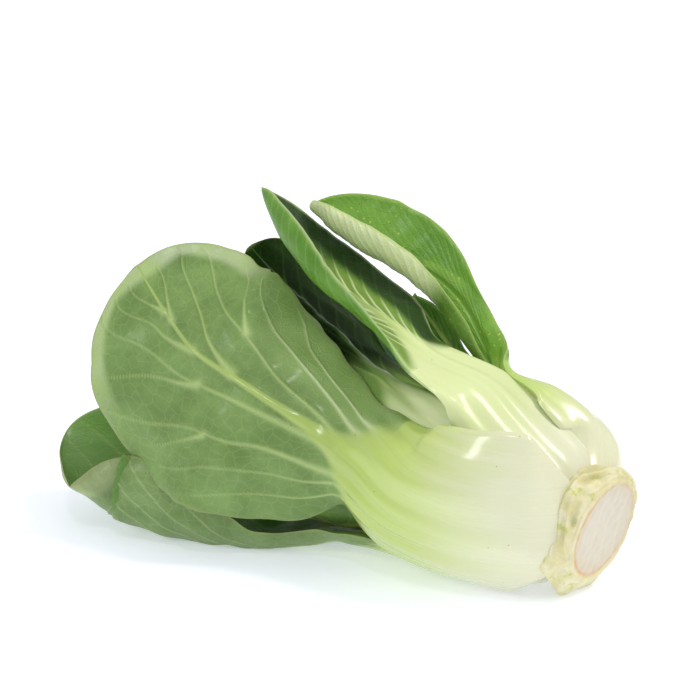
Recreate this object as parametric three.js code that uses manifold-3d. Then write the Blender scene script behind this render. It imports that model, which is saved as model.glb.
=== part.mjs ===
// A head of Shanghai bok choy, as picked, lying on its side. Millimetres and degrees, +Z up.
//
// The head is laid out about its own axis: s runs from the cut face towards the leaf tips, r is
// the distance from the axis, and around is the angle about it, 0 towards the front (-Y) and 90
// towards the top. In the head's frame that point is (-s, -r cos(around), r sin(around)).

import * as THREE from 'three';
import { mergeVertices } from 'three/addons/utils/BufferGeometryUtils.js';
import Module from 'manifold-3d';

const wasm = await Module();
wasm.setup();

// Driving dimensions: millimetres and degrees.

const headTilt = 14; // the head leans on its swollen petioles, leaf end up
const neighbourGap = 0.3; // air left between a leaf and what it was cut to fit
const bladeThickness = 1.1; // of the green blade
const pressedFlat = 1; // depth to which the head's own weight flattens what it lies on
const leastHalfWidth = 1.2; // of a leaf anywhere, its tip included
const bladeFlare = 0.95; // exponent that shapes the blade's start: smaller opens it sooner
const ribFade = { width: 1.3, thickness: 1.2 }; // exponents by which the midrib dies out
const weldDistance = 1e-4; // points nearer to each other than this become one
// rings from a leaf's foot to its tip, and facets from its midrib to each margin
const bigLeafSteps = { along: 20, across: 5 };
const heartLeafSteps = { along: 12, across: 3 };

// The stump of the stem: radius against distance from the cut face, a knobbly collar that
// narrows to the crown hidden between the leaf bases.
const stem = {
  profile: [[0, 16.8], [1.5, 17.8], [5, 18.4], [9, 18], [13, 14.5], [17, 10], [22, 5]],
  crownEnd: 25,
  cutSlant: 7, // the knife went through at this angle off square, facing the front a little
  slantFades: 9, // distance from the cut over which the slant dies out
  sides: 36,
};

// The small leaves at the heart stand round the axis, each shorter than the one before it.
const heart = {
  count: 3, firstAngle: 200, stepAngle: 144, length: 84, shorter: 13, closer: 1.5, halfWidth: 13, narrower: 2,
};
const heartLeaves = Array.from({ length: heart.count }, (_, i) => {
  const reach = heart.length - heart.shorter * i;
  const angle = heart.firstAngle + heart.stepAngle * i;
  const halfWidth = heart.halfWidth - heart.narrower * i;
  // share of the leaf's length against distance from the axis
  const shares = [[0.12, 6], [0.3, 10], [0.5, 11], [0.7, 12], [0.85, 14], [1, 15]];
  return {
    name: `heart_leaf_${i + 1}`,
    steps: heartLeafSteps,
    path: shares.map(([share, r]) => [share * reach, r - heart.closer * i, angle]),
    turn: [0, 0, 0, 0, 0, 0],
    petiole: [4, 8, 8, 6],
    bladeFrom: 0.45,
    blade: [halfWidth, halfWidth],
    widest: [0.5, 0.5],
    tipRound: [0.55, 0.55],
    wrap: [[40, 50, 55, 55, 50, 40], [40, 50, 55, 55, 50, 40]],
    curl: [1, 1],
    thick: [2, 4, 4, 3],
  };
});

// One record for each leaf, the outermost first. Each leaf is one piece: a thick white petiole
// that hugs the head, and the blade that it opens into.
//   path     [s, r, around] along the outside of the midrib, foot to tip
//   turn     twist of the leaf about its path at those same points, on top of around
//   petiole  half-widths of the petiole, from the foot to where the blade begins
//   bladeFrom  where the blade begins, as a share of the path
//   blade    half-widths of the blade on the side of falling and of rising angle
//   widest   where each side is widest, as a share of the blade
//   tipRound exponents that shape each side's end: smaller is blunter
//   wrap     how far each side bends inwards from midrib to margin, along the path
//   curl     how the bend gathers towards the margin: 1 spreads it evenly
//   thick    thickness of the petiole along the midrib, foot to blade
const leaves = [
  {
    name: 'front_leaf',
    path: [
      [4, 15, 1], [15, 26, -4], [34, 32, -8], [56, 31, -10], [73, 27, -1.5], [88, 23, 4.5],
      [113.5, 26, 16.5], [136, 24.5, 24.5], [155, 23, 47.5], [170, 24.5, 69.5],
    ],
    turn: [0, 0, 0, 5, 6, 18, 16, 0, -12, -30],
    petiole: [17, 26, 31, 32, 31, 30, 28.5, 26.5, 23],
    bladeFrom: 0.42,
    blade: [43, 35],
    widest: [0.47, 0.57],
    tipRound: [0.61, 0.44],
    wrap: [
      [70, 68, 60, 53, 58, 48, 30, 26, 15, 8],
      [22, 30, 42, 52, 50, 50, 43, 26, 4, -23],
    ],
    curl: [1, 1],
    thick: [3, 7, 9, 8, 6],
  },
  {
    name: 'upper_back_leaf',
    path: [
      [4, 14, 119], [15, 29, 127], [32, 34, 125], [46, 30.5, 124], [57.5, 36.3, 126],
      [74, 47.8, 124], [90, 52, 122.5], [112, 53, 121], [132.5, 57, 118],
    ],
    turn: [0, -14, 1, 35, 62, 75, 89, 103, 104],
    petiole: [10, 16, 18.5, 15, 9.5],
    bladeFrom: 0.41,
    blade: [16.3, 20.5],
    widest: [0.73, 0.46],
    tipRound: [0.7, 0.3],
    wrap: [
      [46, 58, 70, 58, 34, 17, 21, 26, 28],
      [46, 48, 58, 133, 176, 169, 166, 174, 172],
    ],
    curl: [1, 0.85],
    thick: [3, 7, 8.5, 7, 4],
  },
  {
    name: 'lower_leaf',
    path: [
      [4, 14, -85], [15, 24, -88], [34, 31, -92], [56, 33, -90], [80.5, 37.5, -85],
      [105, 49.5, -79.5], [133, 57, -72.5], [154, 58.5, -71], [165.5, 56, -57.5],
    ],
    turn: [0, 0, 0, 0, 0, -3, -5, -11, 7],
    petiole: [11, 20, 27, 25, 18],
    bladeFrom: 0.42,
    blade: [52, 37],
    widest: [0.78, 0.7],
    tipRound: [0.49, 0.32],
    wrap: [
      [44, 42, 44, 46, 45, 60, 78, 83, 41],
      [50, 48, 50, 50, 46, 64, 104, 114, 95],
    ],
    curl: [1, 1],
    thick: [3, 7, 8.5, 7, 5],
  },
  {
    name: 'lower_back_leaf',
    path: [
      [4, 14, 192], [15, 24, 196], [34, 31, 199], [56, 33, 200], [78, 36, 204], [100, 42, 204],
      [122, 48, 203], [143, 51, 201], [160, 51, 198],
    ],
    turn: [0, 0, 0, 0, 0, 0, 0, 0, 0],
    petiole: [11, 19, 24, 22, 14],
    bladeFrom: 0.42,
    blade: [35, 34],
    widest: [0.55, 0.55],
    tipRound: [0.5, 0.5],
    wrap: [
      [50, 48, 50, 50, 45, 40, 40, 35, 30],
      [62, 66, 66, 60, 45, 40, 45, 45, 40],
    ],
    curl: [1, 1],
    thick: [3, 7, 8.5, 7, 5],
  },
  {
    name: 'upper_front_leaf',
    path: [
      [5, 11, 67], [16, 18.5, 71], [33, 25.5, 77], [48, 31, 82], [66, 33, 80],
      [83.5, 36.5, 84.5], [105, 38, 94.5], [126.5, 44.5, 103.5], [147.5, 55.5, 111],
    ],
    turn: [0, 0, 0, 1, 2, -2, -10, -12, -15],
    petiole: [10, 17.5, 20.5, 18, 13],
    bladeFrom: 0.49,
    blade: [20.5, 20],
    widest: [0.51, 0.48],
    tipRound: [0.67, 0.6],
    wrap: [
      [50, 54, 58, 46, -12, -90, -137, -172, -199],
      [40, 35, 27, 23, 19, 10, -1, -9, -14],
    ],
    curl: [1.64, 1],
    thick: [3, 6, 8, 7, 5],
  },
  {
    name: 'inner_front_leaf',
    path: [
      [8, 10, 30], [20, 18, 34], [41, 23, 42], [64.5, 19, 62], [87.5, 18, 99],
      [109.5, 24, 115.5], [129, 30.5, 119.5], [144.5, 37, 112.5],
    ],
    turn: [0, 0, 0, 0, -5, -15, -28, -49],
    petiole: [8, 16, 21, 21, 17],
    bladeFrom: 0.42,
    blade: [20, 34],
    widest: [0.5, 0.5],
    tipRound: [0.55, 0.5],
    wrap: [
      [50, 50, 50, 64, 68, 60, 40, 36],
      [50, 50, 50, 45, 36, 26, 21, 15],
    ],
    curl: [1, 1],
    thick: [2.5, 5, 6, 5, 4],
  },
  {
    name: 'inner_lower_leaf',
    path: [
      [8, 10, -50], [20, 18, -60], [40, 23, -68], [62, 26, -74], [84, 32, -77], [106, 35, -78],
      [125, 36, -78], [140, 36, -76],
    ],
    turn: [0, 0, 0, 0, 0, 0, 0, 0],
    petiole: [8, 15, 18, 16, 11],
    bladeFrom: 0.45,
    blade: [26, 24],
    widest: [0.5, 0.5],
    tipRound: [0.55, 0.55],
    wrap: [
      [50, 50, 50, 50, 50, 55, 55, 50],
      [55, 55, 55, 60, 70, 75, 75, 70],
    ],
    curl: [1, 1],
    thick: [2.5, 5, 6, 5, 4],
  },
  {
    name: 'inner_back_leaf',
    path: [
      [8, 10, 150], [20, 16, 151], [36, 19, 146], [50, 23, 139], [64, 30, 132],
      [78, 37.5, 131], [92, 45, 131],
    ],
    turn: [0, 0, 0, 12, 32, 48, 55],
    petiole: [8, 15, 17, 13, 7],
    bladeFrom: 0.5,
    blade: [8, 12],
    widest: [0.5, 0.5],
    tipRound: [0.8, 0.8],
    wrap: [
      [56, 60, 60, 60, 46, 30, 15],
      [56, 60, 60, 56, 50, 40, 30],
    ],
    curl: [1, 1],
    thick: [2.5, 5, 6, 5, 4],
  },
  ...heartLeaves,
];

// A smooth line through the rows of points, at a share t of the way from the first to the last.
function along(rows, t) {
  const last = rows.length - 1;
  const x = Math.min(Math.max(t, 0), 1) * last;
  const i = Math.min(Math.floor(x), last - 1);
  const f = x - i;
  const row = (k) => {
    if (k < 0) return rows[0].map((value, n) => 2 * value - rows[1][n]);
    if (k > last) return rows[last].map((value, n) => 2 * value - rows[last - 1][n]);
    return rows[k];
  };
  const [a, b, c, d] = [row(i - 1), row(i), row(i + 1), row(i + 2)];
  return b.map((_, n) => 0.5 * (2 * b[n] + (c[n] - a[n]) * f
    + (2 * a[n] - 5 * b[n] + 4 * c[n] - d[n]) * f ** 2
    + (3 * b[n] - a[n] - 3 * c[n] + d[n]) * f ** 3));
}

const alongValues = (values, t) => along(values.map((value) => [value]), t)[0];
const radians = THREE.MathUtils.degToRad;

// The way out from the axis at an angle around it.
const outwards = (angle) => new THREE.Vector3(0, -Math.cos(radians(angle)), Math.sin(radians(angle)));

const headPoint = ([s, r, angle]) => outwards(angle).multiplyScalar(r).add(new THREE.Vector3(-s, 0, 0));

// Half-width of one side of a blade, as a share of its greatest: it flares out of the petiole,
// is full at `widest` and closes in a blunt end.
function bladeShare(t, widest, tipRound) {
  const power = Math.log(0.5) / Math.log(widest);
  const exponent = THREE.MathUtils.lerp(bladeFlare, tipRound, Math.min(t / widest, 1));
  return Math.max(Math.sin(Math.PI * t ** power), 0) ** exponent;
}

// A closed skin from rings of equal length, each end closed by a fan to its middle.
function skin(rings) {
  const size = rings[0].length;
  const positions = rings.flat().flatMap((p) => p.toArray());
  const index = [];
  for (let i = 0; i + 1 < rings.length; i += 1) {
    for (let j = 0; j < size; j += 1) {
      const k = (j + 1) % size;
      const [a, b, c, d] = [i * size + j, i * size + k, (i + 1) * size + k, (i + 1) * size + j];
      index.push(a, b, c, a, c, d);
    }
  }
  const middle = (ring) => ring.reduce((sum, p) => sum.add(p), new THREE.Vector3()).divideScalar(size);
  const ends = [[0, 1], [rings.length - 1, -1]];
  ends.forEach(([i, way]) => {
    const centre = positions.length / 3;
    positions.push(...middle(rings[i]).toArray());
    for (let j = 0; j < size; j += 1) {
      const a = i * size + j;
      const b = i * size + (j + 1) % size;
      index.push(...(way > 0 ? [centre, b, a] : [centre, a, b]));
    }
  });
  const geometry = new THREE.BufferGeometry();
  geometry.setAttribute('position', new THREE.Float32BufferAttribute(positions, 3));
  geometry.setIndex(index);
  return mergeVertices(geometry, weldDistance);
}

// One side of a leaf's cross-section: points from the midrib out to the margin, each with the
// way that the skin faces there. The section bends by `bend` in all.
function sideSection(halfWidth, bend, curl, side, facets) {
  const section = [];
  const fine = 8; // short straight steps in each facet
  const step = halfWidth / (facets * fine);
  let [across, depth] = [0, 0];
  for (let i = 0; i <= facets * fine; i += 1) {
    const v = i / (facets * fine);
    const angle = radians(bend) * v ** curl;
    if (i > 0) {
      across += Math.cos(angle) * step;
      depth += Math.sin(angle) * step;
    }
    if (i % fine === 0) section.push({ v, side, across: across * side, depth, angle });
  }
  return section;
}

// The closed solid of a leaf, grown outwards all over by `grow`.
function leafGeometry(leaf, grow) {
  const path = leaf.path.map((row) => headPoint(row).toArray());
  const facing = leaf.path.map((row, i) => row[2] + leaf.turn[i]);
  const place = (t) => new THREE.Vector3(...along(path, t));
  const steps = leaf.steps ?? bigLeafSteps;
  const rings = [];
  for (let i = 0; i <= steps.along; i += 1) {
    const even = i / steps.along;
    const t = 0.5 * even + 0.5 * Math.sin(even * Math.PI / 2); // rings stand closer near the tip
    const step = 1e-3;
    const forward = place(Math.min(t + step, 1)).sub(place(Math.max(t - step, 0))).normalize();
    const out = outwards(alongValues(facing, t));
    out.addScaledVector(forward, -out.dot(forward)).normalize();
    const sideways = new THREE.Vector3().crossVectors(forward, out);
    const centre = place(t);
    if (i === 0) centre.addScaledVector(forward, -grow);
    if (i === steps.along) centre.addScaledVector(forward, grow);

    const inPetiole = Math.min(t / leaf.bladeFrom, 1);
    const inBlade = Math.max((t - leaf.bladeFrom) / (1 - leaf.bladeFrom), 0);
    const rib = alongValues(leaf.petiole, inPetiole) * (1 - inBlade) ** ribFade.width;
    const ribThick = alongValues(leaf.thick, inPetiole) * (1 - inBlade) ** ribFade.thickness;
    const sides = [0, 1].map((k) => {
      const blade = leaf.blade[k] * bladeShare(inBlade, leaf.widest[k], leaf.tipRound[k]);
      const wider = (rib ** 4 + blade ** 4) ** 0.25; // the larger of the two, blended where they cross
      const halfWidth = Math.max(wider, leastHalfWidth) + grow;
      const bend = alongValues(leaf.wrap[k], t);
      const section = sideSection(halfWidth, bend, leaf.curl[k], k * 2 - 1, steps.across);
      return section.map((point) => {
        const reach = THREE.MathUtils.clamp(point.v * halfWidth / Math.max(rib, leastHalfWidth), 0, 1);
        const thickness = bladeThickness + Math.max(ribThick - bladeThickness, 0) * (1 - reach ** 2);
        const at = centre.clone().addScaledVector(sideways, point.across);
        at.addScaledVector(out, -point.depth);
        const face = out.clone().multiplyScalar(Math.cos(point.angle));
        face.addScaledVector(sideways, point.side * Math.sin(point.angle));
        return { at, face, thickness };
      });
    });
    const section = [...sides[0].slice(1).reverse(), ...sides[1]];
    const outer = section.map(({ at, face }) => at.clone().addScaledVector(face, grow));
    const inner = section.map(({ at, face, thickness }) => (
      at.clone().addScaledVector(face, -thickness - grow)
    ));
    rings.push([...outer, ...inner.reverse()]);
  }
  return skin(rings);
}

// The stem's solid, grown outwards all over by `grow`: turned about its axis, with its cut face
// slanted and the slant dying out along the collar.
function stemGeometry(grow) {
  const skinPoints = stem.profile.map(([s, r]) => new THREE.Vector2(r + grow, s));
  skinPoints[0].y -= grow;
  const face = new THREE.Vector2(0, skinPoints[0].y);
  const crown = new THREE.Vector2(0, stem.crownEnd + grow);
  const geometry = new THREE.LatheGeometry([face, ...skinPoints, crown], stem.sides);
  geometry.rotateZ(Math.PI / 2); // the lathe's own +Y becomes -X, from the cut face to the leaves
  const position = geometry.attributes.position;
  for (let i = 0; i < position.count; i += 1) {
    const fade = Math.max(1 + position.getX(i) / stem.slantFades, 0);
    position.setX(i, position.getX(i) + position.getY(i) * Math.tan(radians(stem.cutSlant)) * fade);
  }
  return geometry;
}

function toSolid(geometry) {
  const bare = geometry.clone();
  bare.deleteAttribute('normal');
  bare.deleteAttribute('uv');
  const merged = mergeVertices(bare, weldDistance);
  const index = merged.index.array;
  const triVerts = [];
  for (let i = 0; i < index.length; i += 3) {
    const [a, b, c] = index.slice(i, i + 3);
    if (a !== b && b !== c && c !== a) triVerts.push(a, b, c); // those at the poles have no area
  }
  return new wasm.Manifold(new wasm.Mesh({
    numProp: 3,
    vertProperties: new Float32Array(merged.attributes.position.array),
    triVerts: new Uint32Array(triVerts),
  }));
}

function toGeometry(solid) {
  const mesh = solid.getMesh();
  const geometry = new THREE.BufferGeometry();
  geometry.setAttribute('position', new THREE.BufferAttribute(new Float32Array(mesh.vertProperties), 3));
  geometry.setIndex(new THREE.BufferAttribute(new Uint32Array(mesh.triVerts), 1));
  const loose = geometry.toNonIndexed();
  loose.computeVertexNormals();
  return loose;
}

// The biggest body of a solid, so that slivers cut loose are left out.
const biggest = (solid) => solid.decompose().sort((a, b) => b.volume() - a.volume())[0];

const petioleWhite = new THREE.MeshStandardMaterial({ color: '#e6e8cb', roughness: 0.35, metalness: 0 });
const leafGreen = new THREE.MeshStandardMaterial({ color: '#7d9b5d', roughness: 0.5, metalness: 0 });

// Each solid in the head's frame: the stem, then the leaves from the outermost in, each cut to
// leave room for those before it.
const pieces = [{ name: 'stem_base', solid: toSolid(stemGeometry(0)), material: petioleWhite }];
let taken = toSolid(stemGeometry(neighbourGap));
for (const leaf of leaves) {
  const solid = biggest(toSolid(leafGeometry(leaf, 0)).subtract(taken));
  pieces.push({ name: leaf.name, solid, material: leafGreen });
  taken = taken.add(toSolid(leafGeometry(leaf, neighbourGap))).add(solid);
}

const tilt = new THREE.Matrix4().makeRotationY(radians(headTilt));
const lowest = Math.min(...pieces.map(({ solid }) => (
  new THREE.Box3().setFromBufferAttribute(toGeometry(solid).applyMatrix4(tilt).attributes.position).min.z
)));
const slab = { side: 500, depth: 50 }; // larger than the head all round
const ground = new THREE.BoxGeometry(slab.side, slab.side, slab.depth);
ground.translate(0, 0, lowest + pressedFlat - slab.depth / 2);
const groundSolid = toSolid(ground.applyMatrix4(tilt.clone().invert()));

const head = new THREE.Group();
head.rotation.y = radians(headTilt);
for (const { name, solid, material } of pieces) {
  const mesh = new THREE.Mesh(toGeometry(biggest(solid.subtract(groundSolid))), material);
  mesh.name = name;
  head.add(mesh);
}

// Set down on the ground, with the middle of the head's box over the origin.
const group = new THREE.Group();
group.add(head);
group.updateMatrixWorld(true);
const box = new THREE.Box3().setFromObject(head, true);
head.position.set(-(box.min.x + box.max.x) / 2, -(box.min.y + box.max.y) / 2, -box.min.z);

export default group;
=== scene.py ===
# A head of Shanghai bok choy lying on its side: the looks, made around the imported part.
# Sizes in the settings are millimetres and degrees; the meshes are in metres.

import bpy
import numpy as np
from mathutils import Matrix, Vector


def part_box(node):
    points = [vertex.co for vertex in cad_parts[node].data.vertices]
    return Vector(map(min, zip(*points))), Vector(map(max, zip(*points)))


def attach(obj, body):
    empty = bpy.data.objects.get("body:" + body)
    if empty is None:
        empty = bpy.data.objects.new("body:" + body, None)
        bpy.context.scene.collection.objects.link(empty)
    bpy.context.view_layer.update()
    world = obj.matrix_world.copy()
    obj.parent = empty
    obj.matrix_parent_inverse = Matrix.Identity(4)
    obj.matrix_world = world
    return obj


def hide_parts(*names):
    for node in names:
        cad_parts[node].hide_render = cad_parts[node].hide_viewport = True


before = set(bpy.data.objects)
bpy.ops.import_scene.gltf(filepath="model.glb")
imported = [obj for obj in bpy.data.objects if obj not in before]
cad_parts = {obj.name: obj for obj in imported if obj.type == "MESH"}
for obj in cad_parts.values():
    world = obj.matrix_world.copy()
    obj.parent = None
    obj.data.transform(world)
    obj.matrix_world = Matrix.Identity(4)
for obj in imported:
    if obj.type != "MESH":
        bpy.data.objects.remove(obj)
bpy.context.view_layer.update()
print("frame loaded")


# How the head lies, and the profile of its packed stump.
head = {
    "tilt": 14,              # leaf end up
    # distance s from the cut face and radius there
    "rimProfile": [[0, 16.8], [1.5, 17.8], [5, 18.4], [9, 18], [13, 14.5], [17, 10], [22, 5]],
    "crownEnd": 25,
    "cutSlant": 7,           # the knife's angle off square
    "slantFades": 9,         # s at which the slant has died out
    "sides": 36,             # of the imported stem's lathe
}


# Points given as s along the head's axis from the cut face, r away from the axis and an angle
# about it (0 towards the front, 90 up) become x, y, z: (-s, -r cos, r sin), tipped by the tilt.
def headPoints(s, r, angle):
    a = np.radians(angle)
    x, y, z = -np.asarray(s, float), -r * np.cos(a), r * np.sin(a)
    x, y, z = np.broadcast_arrays(x, y, z)
    return tipped(np.stack([x, y, z], -1))


# Turned about Y by the tilt: x' = x cos + z sin, z' = z cos - x sin.
def tipped(p):
    t = np.radians(head["tilt"])
    x, y, z = p[..., 0], p[..., 1], p[..., 2]
    return np.stack([x * np.cos(t) + z * np.sin(t), y, z * np.cos(t) - x * np.sin(t)], -1)


# How far along the axis the slanted knife cut pushes a point: y tan(slant), less and less with
# the distance from the cut and nothing past slantFades.
def slanted(x, y):
    return x + y * np.tan(np.radians(head["cutSlant"])) * np.maximum(1 + x / head["slantFades"], 0)


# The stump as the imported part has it, a lathe whose cut end is slanted: its low corner against
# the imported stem's gives where the middle of the cut face stands.
def cutFaceMiddle():
    profile = np.array([[0, 0]] + head["rimProfile"] + [[head["crownEnd"], 0]], float)
    turn = np.linspace(0, 2 * np.pi, head["sides"] + 1)
    y = np.multiply.outer(profile[:, 1], np.cos(turn))
    z = np.multiply.outer(profile[:, 1], np.sin(turn))
    x = slanted(-profile[:, :1] + 0 * y, y)
    low = tipped(np.stack([x, y, z], -1)).reshape(-1, 3).min(0)
    return np.array(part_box("stem_base")[0]) * 1000 - low


cutFace = cutFaceMiddle()


# A smooth line through the rows of points at shares t of its length: on each stretch the cubic
# whose slope at a row is half the step between that row's neighbours.
def smoothLine(rows, t):
    p = np.asarray(rows, float)
    p = p[:, None] if p.ndim == 1 else p
    last = len(p) - 1
    p = np.vstack([2 * p[0] - p[1], p, 2 * p[-1] - p[-2]])
    x = np.clip(t, 0, 1) * last
    i = np.minimum(x.astype(int), last - 1)
    f = (x - i)[:, None]
    a, b, c, d = p[i], p[i + 1], p[i + 2], p[i + 3]
    return 0.5 * (2 * b + (c - a) * f + (2 * a - 5 * b + 4 * c - d) * f ** 2
                  + (3 * b - a - 3 * c + d) * f ** 3)


def unit(p):
    return p / np.maximum(np.linalg.norm(p, axis=-1, keepdims=True), 1e-9)


# How a leaf's outline grows out of its petiole, the same for every leaf.
outline = {
    "flare": 0.95,           # exponent of the blade's start: smaller opens it sooner
    "ribFade": 1.3,          # exponents by which the midrib's width and thickness die out
    "ribThickFade": 1.2,
    "leastHalf": 1.2,        # half-width of a leaf anywhere, its tip included
    "evenly": 0.45,          # 1 for rows evenly spaced, less for closer ones near the tip
}


# Half-width of one side of a blade as a share of its greatest: sin(pi t^p) to a power that
# slides from the flare at the foot to the roundness of the tip, fullest where t is `widest`.
def bladeShare(t, widest, tipRound):
    p = np.log(0.5) / np.log(widest)
    power = outline["flare"] + (tipRound - outline["flare"]) * np.clip(t / widest, 0, 1)
    return np.clip(np.sin(np.pi * np.clip(t, 0, 1) ** p), 0, 1) ** power


# One leaf as a sheet over (u, v), u from foot to tip along the path and v from -1 to 1 across.
# Each side of the midrib is an arc whose direction turns by wrap * |v|^curl, laid out along
# the sideways way from the path and sunk along the outward way.
def leafSheet(leaf):
    along, across = leaf["grid"]
    even = np.linspace(0, 1, along)
    u = outline["evenly"] * even + (1 - outline["evenly"]) * np.sin(even * np.pi / 2)
    rows = np.array(leaf["path"], float)
    centre = smoothLine(headPoints(rows[:, 0], rows[:, 1], rows[:, 2]), u)
    forward = unit(np.gradient(centre, u, axis=0))
    facing = np.radians(smoothLine(rows[:, 2] + np.array(leaf["turn"]), u)[:, 0])
    out = tipped(np.stack([0 * facing, -np.cos(facing), np.sin(facing)], -1))
    out = unit(out - (out * forward).sum(1, keepdims=True) * forward)
    sideways = np.cross(forward, out)
    inPetiole = np.clip(u / leaf["bladeFrom"], 0, 1)
    inBlade = np.clip((u - leaf["bladeFrom"]) / (1 - leaf["bladeFrom"]), 0, 1)
    rib = smoothLine(leaf["petiole"], inPetiole)[:, 0] * (1 - inBlade) ** outline["ribFade"]
    ribThick = smoothLine(leaf["thick"], inPetiole)[:, 0] * (1 - inBlade) ** outline["ribThickFade"]
    share = np.linspace(0, 1, across + 1)
    halves = []
    widths = []
    for k in (0, 1):
        blade = leaf["blade"][k] * bladeShare(inBlade, leaf["widest"][k], leaf["tipRound"][k])
        wider = (rib ** 4 + blade ** 4) ** 0.25  # the wider of the two, blended where they cross
        width = np.maximum(wider, outline["leastHalf"])
        bend = np.radians(smoothLine(leaf["wrap"][k], u))
        turned = bend * share ** leaf["curl"][k]
        step = width[:, None] / across
        cos, sin = np.cos(turned), np.sin(turned)
        nought = np.zeros((along, 1))
        side = np.hstack([nought, np.cumsum((cos[:, 1:] + cos[:, :-1]) / 2 * step, 1)])
        sink = np.hstack([nought, np.cumsum((sin[:, 1:] + sin[:, :-1]) / 2 * step, 1)])
        halves.append(centre[:, None] + (2 * k - 1) * side[..., None] * sideways[:, None]
                      - sink[..., None] * out[:, None])
        widths.append(width)
    sheet = {"u": u, "rib": rib, "ribThick": ribThick, "inBlade": inBlade}
    sheet["at"] = np.hstack([halves[0][:, :0:-1], halves[1]])
    sheet["v"] = np.concatenate([-share[:0:-1], share])
    sheet["width"] = np.where(sheet["v"] < 0, widths[0][:, None], widths[1][:, None])
    steps = np.linalg.norm(np.diff(centre, axis=0), axis=1)
    sheet["length"] = np.concatenate([[0], np.cumsum(steps)])
    return sheet


# What most leaves share; each leaf then gives its own. Along the leaf: path holds rows of s, r
# and angle from foot to tip, turn adds to the angle that the leaf faces, and petiole and thick
# run from the foot to the blade. Pairs are for the v = -1 side and the v = +1 side. Veins are
# lines of (u, v) or a fan of them, waves are side, cycles, phase and height, and pale and the
# painted shade are patches of the outside: u from and to, v from and to, and strength. A pale
# patch is the pale ribbed fan of the midrib on the upper front leaf, and painted light on the
# others; a painted shade patch darkens the outside where the leaf lies in shadow.
usual = {
    "turn": 0, "bladeFrom": 0.42, "curl": [1, 1],
    "widest": [0.5, 0.5], "tipRound": [0.55, 0.55],
    "thick": [2.5, 5, 6, 5, 4],
    "grid": [150, 44],
    "fan": {"count": 6, "from": 0.45, "bow": 1.4, "wide": 0.6},
    "veinHigh": 0.35, "ribHigh": 0.8, "pucker": 0.3, "scallop": 0.6,
    "waves": [[-1, 6, 0.3, 0.6], [1, 7, 0.0, 0.6]],
    "pale": [], "deep": [], "silver": 0,
}
leaves = {}
leaves["front_leaf"] = {
    "path": [[4, 15, 1], [15, 26, -4], [34, 32, -8], [56, 31, -10], [73, 27, -1.5],
             [88, 23, 4.5], [113.5, 26, 16.5], [136, 24.5, 24.5], [155, 23, 47.5], [170, 24.5, 69.5]],
    "turn": [0, 0, 0, 5, 6, 18, 16, 0, -12, -30],
    "petiole": [17, 26, 31, 32, 31, 30, 28.5, 26.5, 23],
    "blade": [43, 35],
    "widest": [0.47, 0.57],
    "tipRound": [0.61, 0.44],
    "wrap": [[70, 68, 60, 53, 58, 48, 30, 26, 15, 8],
             [22, 30, 42, 52, 50, 50, 43, 26, 4, -23]],
    "thick": [3, 7, 9, 8, 6],
    "grid": [260, 88],
    # half-width of each vein at its root and the points that it runs through
    "veins": [
        [0.8, [0.5, -0.03], [0.645, -0.12], [0.76, -0.2], [0.85, -0.37], [0.95, -0.95]],
        [0.55, [0.74, -0.18], [0.805, -0.41], [0.86, -0.9]],
        [0.8, [0.43, -0.33], [0.59, -0.31], [0.655, -0.42], [0.74, -0.52], [0.82, -0.93]],
        [0.5, [0.69, -0.46], [0.73, -0.62], [0.77, -0.85]],
        [0.7, [0.43, -0.47], [0.5, -0.48], [0.605, -0.53], [0.74, -0.86]],
        [0.6, [0.43, -0.64], [0.48, -0.68], [0.59, -0.72], [0.66, -0.9]],
        [0.6, [0.78, -0.01], [0.83, -0.12], [0.88, -0.23], [0.96, -0.7]],
        [0.5, [0.87, -0.01], [0.91, -0.14], [0.97, -0.4]],
        [0.8, [0.48, 0.1], [0.56, 0.18], [0.64, 0.23], [0.72, 0.38], [0.845, 0.53], [0.94, 0.9]],
        [0.55, [0.72, 0.4], [0.77, 0.63], [0.86, 0.93]],
        [0.7, [0.43, 0.36], [0.54, 0.42], [0.63, 0.51], [0.7, 0.61], [0.8, 0.93]],
        [0.6, [0.43, 0.55], [0.52, 0.62], [0.61, 0.66], [0.69, 0.93]],
        [0.65, [0.7, 0.02], [0.75, 0.11], [0.81, 0.24], [0.925, 0.47], [0.975, 0.9]],
        [0.5, [0.85, 0.01], [0.9, 0.12], [0.97, 0.3]],
    ],
    "veinHigh": 0.5, "ribHigh": 1.1, "scallop": 0.3, "seed": 3,
    "waves": [[1, 8, 0.2, 0.4], [-1, 6, 0.1, 0.12]],
    # painted light: the right half of the blade made lighter where more light falls on it
    "pale": [[0.45, 0.7, 0.35, 1.2, 0.55]],
    "silver": 1,
}
leaves["upper_back_leaf"] = {
    "path": [[4, 14, 119], [15, 29, 127], [32, 34, 125], [46, 30.5, 124], [57.5, 36.3, 126],
             [74, 47.8, 124], [90, 52, 122.5], [112, 53, 121], [132.5, 57, 118]],
    "turn": [0, -14, 1, 35, 62, 75, 89, 103, 104],
    "petiole": [10, 16, 18.5, 15, 9.5],
    "bladeFrom": 0.41,
    "blade": [16.3, 20.5],
    "widest": [0.73, 0.46],
    "tipRound": [0.7, 0.3],
    "wrap": [[46, 58, 70, 58, 34, 17, 21, 26, 28],
             [46, 48, 58, 133, 176, 169, 166, 174, 172]],
    "curl": [1, 0.85],
    "thick": [3, 7, 8.5, 7, 4],
    "grid": [200, 60],
    "fan": {"count": 14, "from": 0.38, "bow": 1.9, "wide": 0.62},
    "veinHigh": 0.4, "pucker": 0.2, "scallop": 0.15, "seed": 13,
    "waves": [[-1, 4, 0.3, 0.2], [1, 9, 0.0, 0.1]],
    # painted highlight: the strip that curls up towards the light is made near white, its ribs showing
    "pale": [[0.66, 1.1, 0.25, 1.2, 1]],
}
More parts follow.
